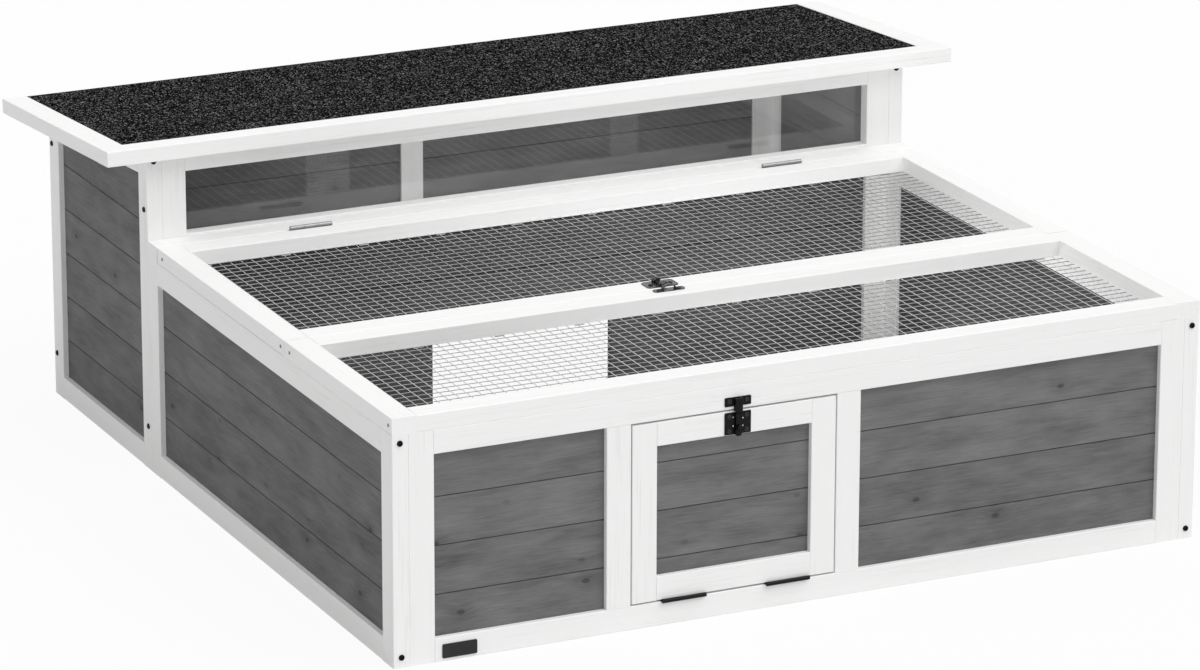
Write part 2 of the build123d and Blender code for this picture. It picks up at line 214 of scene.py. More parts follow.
class HouseStage(bpy.types.PropertyGroup):
    """Light and background."""

    ambient: bpy.props.FloatProperty(
        name="Ambient", description="Strength of the even light from all round",
        default=0.575, min=0,
    )
    key: bpy.props.FloatProperty(
        name="Key", description="Strength of the soft lamp", default=1.84, min=0
    )
    inside: bpy.props.FloatProperty(
        name="Inside", description="Power of the lamp in the sleeping house, in watts",
        default=0.85, min=0,
    )
    run: bpy.props.FloatProperty(
        name="Run", description="Power of the lamp on the floor of the run, in watts",
        default=1.65, min=0,
    )
    glow: bpy.props.FloatProperty(
        name="White Floor", description="Share of plain white in the floor",
        default=0.92, min=0, max=1,
    )


class Field:
    """A socket in a node tree. Arithmetic on it adds Math nodes."""

    def __init__(self, nodes, socket):
        self.nodes = nodes
        self.socket = socket

    def other(self, output):
        """Another output of the same node."""
        return Field(self.nodes, self.socket.node.outputs[output])

    def math(self, operation, *terms):
        return self.nodes.node("ShaderNodeMath", {"operation": operation}, dict(enumerate(terms)))

    def __add__(self, other):
        return self.math("ADD", self, other)

    def __radd__(self, other):
        return self.math("ADD", other, self)

    def __sub__(self, other):
        return self.math("SUBTRACT", self, other)

    def __rsub__(self, other):
        return self.math("SUBTRACT", other, self)

    def __mul__(self, other):
        return self.math("MULTIPLY", self, other)

    def __rmul__(self, other):
        return self.math("MULTIPLY", other, self)

    def __truediv__(self, other):
        return self.math("DIVIDE", self, other)

    def __gt__(self, other):
        return self.math("GREATER_THAN", self, other)

    def __lt__(self, other):
        return self.math("LESS_THAN", self, other)

    def floor(self):
        return self.math("FLOOR", self)


class Nodes:
    """A node tree and the method that adds its nodes."""

    def __init__(self, tree):
        self.tree = tree

    def node(self, kind, settings, inputs, output=0):
        """Add a node: its settings come first, then the values or links of its sockets."""
        made = self.tree.nodes.new(kind)
        for key, value in settings.items():
            setattr(made, key, value)
        for key, value in inputs.items():
            self.feed(made.inputs[key], value)
        return Field(self, made.outputs[output])

    def feed(self, socket, value):
        """Link or set one socket."""
        if isinstance(value, Field):
            self.tree.links.new(value.socket, socket)
        else:
            socket.default_value = value

    def place(self):
        return self.node("ShaderNodeTexCoord", {}, {}, "Object")

    def axes(self, vector):
        """The X, Y and Z of a vector."""
        x = self.node("ShaderNodeSeparateXYZ", {}, {"Vector": vector})
        return {"X": x, "Y": x.other("Y"), "Z": x.other("Z")}

    def join(self, x, y, z):
        return self.node("ShaderNodeCombineXYZ", {}, {"X": x, "Y": y, "Z": z})

    def stretch(self, vector, scale):
        """A vector with each part multiplied by its own scale."""
        return self.node("ShaderNodeMapping", {}, {"Vector": vector, "Scale": scale})

    def noise(self, vector, scale, detail, roughness=0.55):
        inputs = {"Vector": vector, "Scale": scale, "Detail": detail, "Roughness": roughness}
        return self.node("ShaderNodeTexNoise", {}, inputs)

    def smooth(self, value, low, high):
        """0 below low, 1 above high and a soft step between them."""
        inputs = {"Value": value, "From Min": low, "From Max": high}
        return self.node("ShaderNodeMapRange", {"interpolation_type": "SMOOTHSTEP"}, inputs)

    def blend(self, share, first, second):
        """A colour between two others."""
        first_colour, second_colour, colour_result = 6, 7, 2
        inputs = {"Factor": share, first_colour: first, second_colour: second}
        return self.node("ShaderNodeMix", {"data_type": "RGBA"}, inputs, colour_result)


class Surface(Nodes):
    """A material with one shader."""

    def __init__(self, name, **constants):
        self.material = bpy.data.materials.new(name)
        self.material.use_nodes = True
        super().__init__(self.material.node_tree)
        self.shader = self.tree.nodes["Principled BSDF"]
        for key, value in constants.items():
            self.set(key.replace("_", " "), value)

    def set(self, socket, value):
        self.feed(self.shader.inputs[socket], value)

    def bump(self, height, distance, strength=1.0):
        """Feed a height in metres to the shader's normal."""
        inputs = {"Height": height, "Distance": distance, "Strength": strength}
        self.set("Normal", self.node("ShaderNodeBump", {}, inputs))


def opaque(colour):
    return (*colour, 1.0)


def white_paint(colours, along):
    """White paint over timber, with the grain showing faintly along one axis."""
    look = Surface(f"white_paint_{along.lower()}", IOR=1.45)
    place = look.place()
    axis = "XYZ".index(along)
    # Features per metre, few of them along the grain
    fine, broad = [520.0] * 3, [60.0] * 3
    fine[axis], broad[axis] = 11.0, 2.5
    lines = look.noise(look.stretch(place, fine), 1.0, 4.0, 0.62)
    cloud = look.noise(look.stretch(place, broad), 1.0, 3.0)
    grain = look.smooth(lines, 0.5, 0.7) * look.smooth(cloud, 0.35, 0.65)
    look.set("Base Color", look.blend(grain * 0.45, opaque(colours.paint), opaque(colours.grain)))
    look.set("Roughness", 0.42 + 0.25 * cloud)
    look.bump(1.0 - grain + 0.3 * lines, 0.12 * MM, 0.6)
    return look.material


def stained_planks(colours, sizes, along):
    """Grey stain over fir planks, each with its own grain, clouds and knots, with painted shade on the run's
    inner faces.
    """
    look = Surface(f"grey_stain_{along.lower()}", Specular_IOR_Level=0.04)
    at = look.axes(look.place())
    depth = at["Y" if along == "X" else "X"]
    board = ((at["Z"] - sizes.first_seam) / sizes.plank_pitch).floor()
    wall = (depth * 4.0).floor()
    luck = look.node("ShaderNodeTexWhiteNoise", {"noise_dimensions": "1D"}, {"W": board * 3.0 + wall * 17.0})
    shift = luck * 40.0
    run = at[along]

    def grain(length, width, height, detail, roughness=0.55):
        """Noise whose patches have a length along the plank and a width across it, in metres."""
        where = look.join(run * (1 / length) + shift, height * (1 / width), shift)
        return look.noise(where, 1.0, detail, roughness)

    knots_along, knots_up = 8.0, 13.0  # per metre
    spot = look.join(run * knots_along + shift, at["Z"] * knots_up, 0.0)
    knots = look.node(
        "ShaderNodeTexVoronoi", {"feature": "F1", "voronoi_dimensions": "2D"}, {"Vector": spot, "Scale": 1.0}
    )
    size = look.smooth(look.axes(knots.other("Color"))["X"], 0.3, 1.0)
    core = (1.0 - look.smooth(knots, 0.015, 0.05)) * size
    halo = (1.0 - look.smooth(knots, 0.03, 0.19)) * size
    height = at["Z"] + grain(250 * MM, 70 * MM, at["Z"], 2.0) * 0.015 + halo * 0.004
    fine = grain(28 * MM, 1.4 * MM, height, 4.0, 0.62)
    streak = grain(200 * MM, 11 * MM, height, 3.0)
    cloud = grain(75 * MM, 30 * MM, at["Z"], 4.0)
    tone = 0.5 + 0.85 * (cloud - 0.5) + 0.35 * (streak - 0.5) + 0.65 * (fine - 0.5) + 0.12 * (luck - 0.5)
    tone = tone - 0.45 * core - 0.17 * halo
    skin = 10 * MM
    # Painted shade: plank faces inside the run, away from the outer skins, are blended towards black
    off_sides = (at["X"] > LEFT + skin) * (at["X"] < RIGHT - skin)
    run_shade_mask = off_sides * (at["Y"] > FRONT + skin) * (at["Y"] < DIVIDER)
    stain = look.blend(tone, opaque(colours.stain_dark), opaque(colours.stain_light))
    black = (0.0, 0.0, 0.0, 1.0)
    look.set("Base Color", look.blend(run_shade_mask * colours.inner_shade_share, stain, black))
    look.set("Roughness", 0.55 + 0.25 * streak)
    look.bump(fine + 0.5 * streak, 0.15 * MM, 0.7)
    return look.material


def roofing_felt(colours):
    """Bitumen felt covered with mineral granules of mixed greys."""
    look = Surface("roofing_felt", Roughness=1.0, Specular_IOR_Level=0.0)
    place = look.place()
    granules_per_metre = (820.0, 500.0, 600.0)
    spread = look.stretch(place, granules_per_metre)
    grains = look.node("ShaderNodeTexVoronoi", {"feature": "F1"}, {"Vector": spread, "Scale": 1.0})
    tint = look.axes(grains.other("Color"))["X"]
    patch = look.noise(place, 25.0, 3.0)
    # A high power of the tint leaves only a few granules pale
    cube = tint * tint * tint
    pale = cube * cube * cube * (0.6 + 0.8 * patch)
    look.set("Base Color", look.blend(pale, opaque(colours.felt), opaque(colours.granule)))
    look.bump(1.0 - grains, 0.7 * MM)
    return look.material


def black_hardware(name, colours, index, dullness):
    """Black paint on pressed steel."""
    look = Surface(name, Base_Color=opaque(colours.hardware), IOR=index)
    mottle = look.noise(look.place(), 420.0, 3.0)
    look.set("Roughness", dullness + 0.25 * mottle)
    look.bump(mottle, 0.08 * MM, 0.5)
    return look.material


def zinc(name, colour):
    """Zinc, brighter and duller by turns."""
    look = Surface(name, Metallic=1.0)
    spangle = look.noise(look.place(), 160.0, 3.0)
    look.set("Base Color", look.blend(spangle, opaque(0.75 * colour), opaque(1.25 * colour)))
    look.set("Roughness", 0.3 + 0.25 * spangle)
    return look.material


def clear_pane():
    """Thin clear sheet that shows faint reflections."""
    look = Surface("clear_pane", Base_Color=(0.02, 0.022, 0.022, 1.0), IOR=2.3, Alpha=0.24)
    haze = look.noise(look.place(), 9.0, 2.0)
    look.set("Roughness", 0.003 * haze)
    return look.material


def cover(node_names, material):
    """Give CAD nodes a material."""
    for name in node_names:
        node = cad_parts[name]
        if not node.material_slots:
            node.data.materials.append(material)
        for place in node.material_slots:
            place.material = material


def start():
    """Leave edit mode and deselect everything."""
    if bpy.context.object and bpy.context.object.mode != "OBJECT":
        bpy.ops.object.mode_set(mode="OBJECT")
    bpy.ops.object.select_all(action="DESELECT")


def place_in_mesh():
    """Move the place, turn and scale of what is selected into its mesh."""
    bpy.ops.object.transform_apply(location=True, rotation=True, scale=True)


def block(centre, size, turn=0.0):
    """Add a box around a centre, turned about Z."""
    start()
    bpy.ops.mesh.primitive_cube_add(size=1, location=centre, rotation=(0, 0, turn))
    piece = bpy.context.object
    piece.scale = size
    place_in_mesh()
    return piece


def join(pieces):
    """Join pieces into the first of them."""
    start()
    for piece in pieces:
        piece.select_set(True)
    bpy.context.view_layer.objects.active = pieces[0]
    bpy.ops.object.join()
    return pieces[0]


def pick(piece, kind, test):
    """In edit mode, select the edges or faces that pass a test on their centre and direction."""
    bpy.ops.object.mode_set(mode="EDIT")
    bpy.ops.mesh.select_mode(type=kind)
    bpy.ops.mesh.select_all(action="DESELECT")
    bpy.ops.object.mode_set(mode="OBJECT")
    mesh = piece.data
    if kind == "FACE":
        for face in mesh.polygons:
            face.select = test(face.center, face.normal)
    else:
        for edge in mesh.edges:
            first, second = (mesh.vertices[index].co for index in edge.vertices)
            edge.select = test((first + second) / 2, (second - first).normalized())
    bpy.ops.object.mode_set(mode="EDIT")


def settle(piece, name, body, material=None, smooth=30.0):
    """Finish a piece: its place goes into its mesh, and it rides on a body."""
    start()
    piece.select_set(True)
    bpy.context.view_layer.objects.active = piece
    place_in_mesh()
    bpy.ops.object.shade_smooth_by_angle(angle=math.radians(smooth))
    piece.name = name
    piece.data.name = name
    if material:
        piece.data.materials.clear()
        piece.data.materials.append(material)
    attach(piece, body)
    return piece


def apply_array(piece, count, offset):
    """Repeat a piece in a row and weld the copies."""
    repeat = piece.modifiers.new("repeat", "ARRAY")
    repeat.count = count
    repeat.use_relative_offset = False
    repeat.use_constant_offset = True
    repeat.constant_offset_displace = offset
    repeat.use_merge_vertices = True
    repeat.merge_threshold = 0.02 * MM
    bpy.ops.object.modifier_apply(modifier=repeat.name)


def wire_row(start_point, along, across, cells, rows, sizes, material):
    """Make rows of wire that bend a little between their welds."""
    pitch, wire, wave = sizes.mesh_pitch, sizes.wire, sizes.wire_wave
    start()
    turn = along.to_track_quat("Z", "Y").to_euler()
    bpy.ops.mesh.primitive_circle_add(
        vertices=6, radius=wire / 2, fill_type="NOTHING", location=start_point, rotation=turn
    )
    piece = bpy.context.object
    place_in_mesh()
    bpy.ops.object.mode_set(mode="EDIT")
    bpy.ops.mesh.select_all(action="SELECT")
    for side in (1, -1):
        step = along * pitch / 2 + across * wave * side
        bpy.ops.mesh.extrude_region_move(TRANSFORM_OT_translate={"value": step})
    bpy.ops.object.mode_set(mode="OBJECT")
    apply_array(piece, cells, along * pitch)
    bpy.ops.object.mode_set(mode="EDIT")
    bpy.ops.mesh.select_all(action="SELECT")
    bpy.ops.mesh.fill_holes(sides=6)
    bpy.ops.mesh.normals_make_consistent(inside=False)
    bpy.ops.object.mode_set(mode="OBJECT")
    apply_array(piece, rows, across * pitch)
    piece.data.materials.append(material)
    return piece


def weld_net(name, node, body, sizes, bright, shaded):
    """Make the welded mesh of one panel in the place of its CAD net, its cross wires in darker zinc as
    painted shade.
    """
    low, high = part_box(node)
    pitch, wire = sizes.mesh_pitch, sizes.wire
    centre = (low + high) / 2
    columns = int((high.x - low.x) / pitch)
    rows = int((high.y - low.y) / pitch)
    corner = Vector((centre.x - columns * pitch / 2, centre.y - rows * pitch / 2, high.z - wire / 2))
    below = corner - Vector((0, 0, wire * 0.75))
    right, back = Vector((1, 0, 0)), Vector((0, 1, 0))
    net = wire_row(corner, back, right, rows, columns + 1, sizes, bright)
    # Cross wires below take the darkened zinc: painted shade under the long wires
    cross = wire_row(below, right, back, columns, rows + 1, sizes, shaded)
    net = join([net, cross])
    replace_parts(settle(net, name, body, smooth=60.0), node)


def cut(piece, cutter):
    """Take a cutter's shape out of a piece, and remove the cutter."""
    start()
    piece.select_set(True)
    bpy.context.view_layer.objects.active = piece
    hollow = piece.modifiers.new("hollow", "BOOLEAN")
    hollow.operation = "DIFFERENCE"
    hollow.solver = "EXACT"
    hollow.object = cutter
    bpy.ops.object.modifier_apply(modifier=hollow.name)
    bpy.data.objects.remove(cutter)


def domed_head(radius, height, sides, socket):
    """Model one fixing's head on the origin, its axis along Z, with a socket of the given kind."""
    start()
    middle = (0, 0, height / 2)
    bpy.ops.mesh.primitive_cylinder_add(vertices=sides, radius=radius, depth=height, location=middle)
    head = bpy.context.object
    place_in_mesh()
    pick(head, "FACE", lambda centre, normal: normal.z > 0.9)
    bpy.ops.mesh.bevel(offset=height * 0.55, segments=3, affect="EDGES")
    bpy.ops.object.mode_set(mode="OBJECT")
    depth, top = height * 0.7, (0, 0, height)
    if socket == "hex":
        start()
        bpy.ops.mesh.primitive_cylinder_add(vertices=6, radius=radius * 0.5, depth=2 * depth, location=top)
        cut(head, bpy.context.object)
    else:
        for turn in (0.0, math.pi / 2):
            cut(head, block(top, (radius * 1.25, radius * 0.28, depth * 1.2), turn))
    return head


def set_fixings(head, name, body, material, places):
    """Copy a head to each place, as one piece."""
    copies = []
    for place in places:
        copy = bpy.data.objects.new(name, head.data.copy())
        copy.data.transform(place)
        bpy.context.scene.collection.objects.link(copy)
        copies.append(copy)
    settle(join(copies), name, body, material)


def pressed_plate(width, depth, corner, thick, middle):
    """Model a plate with rounded ends and a dished face, lying on Z = 0."""
    plate = block((0, middle, thick / 2), (width, depth, thick))
    pick(plate, "EDGE", lambda centre, way: abs(way.z) > 0.9)
    bpy.ops.mesh.bevel(offset=corner, segments=6, affect="EDGES")
    bpy.ops.object.mode_set(mode="OBJECT")
    pick(plate, "FACE", lambda centre, normal: normal.z > 0.9)
    bpy.ops.mesh.inset(thickness=0.5 * MM, depth=0)
    bpy.ops.mesh.inset(thickness=0.4 * MM, depth=-0.3 * MM)
    bpy.ops.object.mode_set(mode="OBJECT")
    return plate


def arched_strap(half_span, rise, legs, first, last, thick):
    """Model a strap that arches over a bolt, from first to last along Y."""
    hair, edge_round = 0.01 * MM, 0.2 * MM
    springing = (0, first, legs)
    upright = (math.pi / 2, 0, 0)
    start()
    bpy.ops.mesh.primitive_circle_add(
        vertices=24, radius=half_span, fill_type="NOTHING", location=springing, rotation=upright
    )
    strap = bpy.context.object
    strap.scale = (1, rise / half_span, 1)
    place_in_mesh()
    bpy.ops.object.mode_set(mode="EDIT")
    bpy.ops.mesh.select_mode(type="VERT")
    bpy.ops.mesh.select_all(action="SELECT")
    bpy.ops.mesh.bisect(plane_co=(0, 0, legs), plane_no=(0, 0, 1), clear_inner=True)
    bpy.ops.mesh.select_all(action="SELECT")
    bpy.ops.mesh.extrude_region_move(TRANSFORM_OT_translate={"value": (0, last - first, 0)})
    bpy.ops.object.mode_set(mode="OBJECT")
    pick(strap, "EDGE", lambda centre, way: centre.z < legs + hair and abs(way.y) > 0.9)
    bpy.ops.mesh.extrude_region_move(TRANSFORM_OT_translate={"value": (0, 0, -legs)})
    bpy.ops.mesh.select_all(action="SELECT")
    bpy.ops.mesh.remove_doubles(threshold=hair)
    bpy.ops.mesh.normals_make_consistent(inside=False)
    bpy.ops.object.mode_set(mode="OBJECT")
    wall = strap.modifiers.new("wall", "SOLIDIFY")
    wall.thickness, wall.offset = thick, 0
    bpy.ops.object.modifier_apply(modifier=wall.name)
    round_off = strap.modifiers.new("round_off", "BEVEL")
    round_off.width, round_off.segments = edge_round, 2
    bpy.ops.object.modifier_apply(modifier=round_off.name)
    bpy.ops.object.mode_set(mode="EDIT")
    bpy.ops.mesh.select_all(action="SELECT")
    bpy.ops.mesh.normals_make_consistent(inside=False)
    bpy.ops.object.mode_set(mode="OBJECT")
    return strap


def bare_staple(length, wire, legs):
    """Model one staple on the origin, its crown along X and its legs towards -Z."""
    staple = block((0, 0, wire / 2), (length, wire, wire))
    shoulder = length / 2 - wire
    for x in (-shoulder, shoulder):
        bpy.ops.object.mode_set(mode="EDIT")
        bpy.ops.mesh.select_all(action="SELECT")
        bpy.ops.mesh.bisect(plane_co=(x, 0, 0), plane_no=(1, 0, 0))
        bpy.ops.object.mode_set(mode="OBJECT")
    pick(staple, "FACE", lambda centre, normal: normal.z < -0.9 and abs(centre.x) > shoulder)
    bpy.ops.mesh.extrude_region_move(TRANSFORM_OT_translate={"value": (0, 0, -legs)})
    bpy.ops.object.mode_set(mode="OBJECT")
    pick(staple, "EDGE", lambda middle, way: middle.z > 0.9 * wire and abs(way.x) > 0.9)
    bpy.ops.mesh.bevel(offset=wire * 0.3, segments=2, affect="EDGES")
    bpy.ops.object.mode_set(mode="OBJECT")
    return staple


def spaced(first, last, step):
    """Even places from first to last, about a step apart."""
    count = round((last - first) / step)
    return [first + (last - first) * number / count for number in range(count + 1)]


def facing(direction, point):
    """Matrix that puts a head on a point, with its axis along a direction."""
    return Matrix.Translation(point) @ Vector(direction).to_track_quat("Z", "Y").to_matrix().to_4x4()


def latch_corners(node, face, inset, rows):
    """Places of the screws of one latch plate or keeper, on the side that face points to."""
    low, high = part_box(node)
    places = []
    for x in (low.x + inset, high.x - inset):
        for row in rows:
            if face == OUT:
                places.append(facing(face, (x, FRONT - LATCH_PLATE, high.z - row)))
            else:
                places.append(facing(face, (x, low.y + row, TOP + LATCH_PLATE)))
    return places


class HOUSE_OT_paint_timber(bpy.types.Operator):
    """Paint the frames, strips and trims white"""

    bl_idname = "tortoise_house.paint_timber"
    bl_label = "Paint Timber"

    def execute(self, context):
        for along, names in PAINTED.items():
            cover(names, white_paint(context.scene.house_colours, along))
        return {"FINISHED"}


class HOUSE_OT_stain_planks(bpy.types.Operator):
    """Stain the planks grey"""

    bl_idname = "tortoise_house.stain_planks"
    bl_label = "Stain Planks"

    def execute(self, context):
        scene = context.scene
        for along, names in STAINED.items():
            cover(names, stained_planks(scene.house_colours, scene.house_sizes, along))
        return {"FINISHED"}


class HOUSE_OT_lay_felt(bpy.types.Operator):
    """Cover the roof with mineral felt"""

    bl_idname = "tortoise_house.lay_felt"
    bl_label = "Lay Felt"

    def execute(self, context):
        cover(["roof_felt"], roofing_felt(context.scene.house_colours))
        return {"FINISHED"}


class HOUSE_OT_glaze_window(bpy.types.Operator):
    """Fit the clear pane of the sleeping house"""

    bl_idname = "tortoise_house.glaze_window"
    bl_label = "Glaze Window"

    def execute(self, context):
        cover(["window_pane"], clear_pane())
        return {"FINISHED"}


class HOUSE_OT_weld_nets(bpy.types.Operator):
    """Make the welded mesh of the fixed panel and the lid"""

    bl_idname = "tortoise_house.weld_nets"
    bl_label = "Weld Nets"

    def execute(self, context):
        scene = context.scene
        bright = zinc("bright_wire", scene.house_colours.long_wire)
        # Darker copy of the same zinc, a painted shade for the cross wires and the frame screws
        shaded = zinc("shaded_wire", scene.house_colours.shaded_cross_wire)
        weld_net("front_panel_wire", "front_panel_mesh", "enclosure", scene.house_sizes, bright, shaded)
        weld_net("lid_wire", "lid_mesh", "mesh_lid", scene.house_sizes, bright, shaded)
        return {"FINISHED"}


class HOUSE_OT_staple_nets(bpy.types.Operator):
    """Staple both nets to the underside of their frames"""

    bl_idname = "tortoise_house.staple_nets"
    bl_label = "Staple Nets"

    def execute(self, context):
        wire = bpy.data.materials["bright_wire"]
        staple = bare_staple(11 * MM, 1.0 * MM, 2.0 * MM)
        down, quarter = (0, 0, -1), Matrix.Rotation(math.pi / 2, 4, "Z")
        inset, margin = 4.5 * MM, 30 * MM
        for name, node, body in (
            ("panel_staples", "front_panel_mesh", "enclosure"),
            ("lid_staples", "lid_mesh", "mesh_lid"),
        ):
            low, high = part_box(node)
            under = high.z - 1.9 * context.scene.house_sizes.wire
            places = []
            for x in spaced(low.x + margin, high.x - margin, 90 * MM):
                for y in (low.y + inset, high.y - inset):
                    places.append(facing(down, (x, y, under)))
            for y in spaced(low.y + margin, high.y - margin, 70 * MM):
                for x in (low.x + inset, high.x - inset):
                    places.append(facing(down, (x, y, under)) @ quarter)
            set_fixings(staple, name, body, wire, places)
        bpy.data.objects.remove(staple)
        return {"FINISHED"}


class HOUSE_OT_fit_hardware(bpy.types.Operator):
    """Blacken the hinges and latches, and drive the screws and bolts"""

    bl_idname = "tortoise_house.fit_hardware"
    bl_label = "Fit Hardware"

    def execute(self, context):
        colours = context.scene.house_colours
        black = black_hardware("black_hardware", colours, index=1.25, dullness=0.2)
        gloss = black_hardware("glossy_hardware", colours, index=1.7, dullness=0.1)
        cover(BLACK, black)
        cover(("lid_bolt",), gloss)
        cover(LID_HINGES, zinc("bare_steel", colours.steel))
        self.press_lid_latch(gloss)
        self.drive_latch_screws(zinc("blackened_steel_glint", colours.screw))
        self.paint_latch_glints(bpy.data.materials["bright_wire"])
        self.drive_frame_screws(bpy.data.materials["shaded_wire"])
        self.drive_wall_bolts(context.scene.house_sizes.bolt_head / 2, black)
        return {"FINISHED"}

    def press_lid_latch(self, material):
        """Plate and keeper of the lid's latch, with rounded ends and arched straps over the bolt."""
        low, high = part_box("lid_latch_plate")
        middle, width = (low.x + high.x) / 2, high.x - low.x
        lid_edge = low.y - 1.2 * MM
        corner, thick = 4.2 * MM, 0.9 * MM
        # Half span, rise and legs of each strap, then its ends behind the lid's edge, in millimetres
        guides = ((4.8, 2.9, 2.5, 2.4, 5.4), (4.8, 2.9, 2.5, 20.1, 22.2))
        sleeve = ((7.6, 5.0, 1.6, -13.2, -7.6),)
        for name, node, body, near, far, straps in (
            ("lid_latch_base", "lid_latch_plate", "mesh_lid", 1.2, 22.8, guides),
            ("lid_latch_keeper", "lid_keeper", "enclosure", -15.4, -5.6, sleeve),
        ):
            depth, centre = (far - near) * MM, (near + far) / 2 * MM
            parts = [pressed_plate(width, depth, corner, LATCH_PLATE, centre)]
            for strap in straps:
                parts.append(arched_strap(*(size * MM for size in strap), thick))
            piece = join(parts)
            piece.location = (middle, lid_edge, TOP)
            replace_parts(settle(piece, name, body, material), node)

    def drive_latch_screws(self, material):
        """Screws through both latches and both keepers."""
        # Their steel is paler than the paint, partly as a painted glint on the heads
        head = domed_head(2.6 * MM, 0.8 * MM, 20, "cross")
        door_inset, lid_inset = 5.2 * MM, 7.0 * MM
        door_rows, lid_row = (4.2 * MM, 20.2 * MM), 9.5 * MM
        door_keeper_row, lid_keeper_row = 4.1 * MM, 4.9 * MM
        door = latch_corners("door_latch_plate", OUT, door_inset, door_rows)
        lid = latch_corners("lid_latch_plate", UP, lid_inset, [lid_row])
        keepers = latch_corners("door_keeper", OUT, door_inset, [door_keeper_row])
        keepers += latch_corners("lid_keeper", UP, lid_inset, [lid_keeper_row])
        set_fixings(head, "door_latch_screws", "front_door", material, door)
        set_fixings(head, "lid_latch_screws", "mesh_lid", material, lid)
        set_fixings(head, "keeper_screws", "enclosure", material, keepers)
        bpy.data.objects.remove(head)

    def paint_latch_glints(self, material):
        """Bright rivets on both sides of the bolt of the door's latch, placed as painted glints of the
        guides' edges.
        """
        head = domed_head(0.8 * MM, 0.6 * MM, 12, "cross")
        low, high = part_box("door_latch_plate")
        middle, door_edge = (low.x + high.x) / 2, high.z + 1.2 * MM
        beside = 5.6 * MM
        places = []
        # Painted glints: bright zinc heads where the straps' edges catch the light
        for side, row in ((-1, 6.4), (-1, 16.2), (1, 8.4), (1, 16.8)):
            place = (middle + side * beside, FRONT - LATCH_PLATE, door_edge - row * MM)
            places.append(facing(OUT, place))
        set_fixings(head, "door_latch_glint_rivets", "front_door", material, places)
        bpy.data.objects.remove(head)

    def drive_frame_screws(self, material):
        """Screws through the ends of the mesh frames, in both sides."""
        # The heads take the darker copy of the wire zinc, a painted shade
        head = domed_head(2.0 * MM, 0.5 * MM, 20, "cross")
        level = TOP - 9.0 * MM
        # Distances of the screws behind the front, in millimetres
        for name, body, backs in (
            ("panel_screws", "enclosure", (8.7, 271.2)),
            ("lid_screws", "mesh_lid", (295.6, 639.4)),
        ):
            places = []
            for back in backs:
                places.append(facing((-1, 0, 0), (LEFT, FRONT + back * MM, level)))
                places.append(facing((1, 0, 0), (RIGHT, FRONT + back * MM, level)))
            set_fixings(head, name, body, material, places)
        bpy.data.objects.remove(head)

    def drive_wall_bolts(self, radius, material):
        """Socket bolts that hold the walls together."""
        head = domed_head(radius, 1.6 * MM, 24, "hex")
        edge, low, high = 8.7 * MM, 11.5 * MM, 244.0 * MM
        house_front_high, house_back_high = 362.5 * MM, 336.0 * MM
        house_side_low, house_side_high = 51.0 * MM, 305.5 * MM
        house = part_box("divider_stiles")[0].y
        out = {"front": (0, -1, 0), "back": (0, 1, 0), "left": (-1, 0, 0), "right": (1, 0, 0)}
        places = []
        for x in (LEFT + edge, RIGHT - edge):
            for z in (low, high):
                places.append(facing(out["front"], (x, FRONT, z)))
            places.append(facing(out["front"], (x, house, house_front_high)))
            for z in (low, house_back_high):
                places.append(facing(out["back"], (x, BACK, z)))
        for y in (house + 9.0 * MM, BACK - 9.0 * MM):
            for z in (house_side_low, house_side_high):
                places.append(facing(out["left"], (LEFT, y, z)))
                places.append(facing(out["right"], (RIGHT, y, z)))
        set_fixings(head, "wall_bolts", "enclosure", material, places)
        bpy.data.objects.remove(head)


class HOUSE_OT_fix_badge(bpy.types.Operator):
    """Fix the bare plate to the front wall's bottom rail"""

    bl_idname = "tortoise_house.fix_badge"
    bl_label = "Fix Badge"

    def execute(self, context):
        sizes = context.scene.house_sizes
        thick = 1.0 * MM
        centre = (LEFT + 74.1 * MM, FRONT - thick / 2, 11.0 * MM)
        plate = block(centre, (sizes.badge_width, thick, sizes.badge_height))
        pick(plate, "EDGE", lambda middle, way: abs(way.y) > 0.9)
        bpy.ops.mesh.bevel(offset=1.6 * MM, segments=5, affect="EDGES")
        bpy.ops.object.mode_set(mode="OBJECT")
        pick(plate, "FACE", lambda middle, normal: normal.y < -0.9)
        bpy.ops.mesh.inset(thickness=0.8 * MM, depth=-0.2 * MM)
        bpy.ops.object.mode_set(mode="OBJECT")
        look = bpy.data.materials["black_hardware"]
        settle(plate, "badge_plate", "enclosure", look)
        return {"FINISHED"}


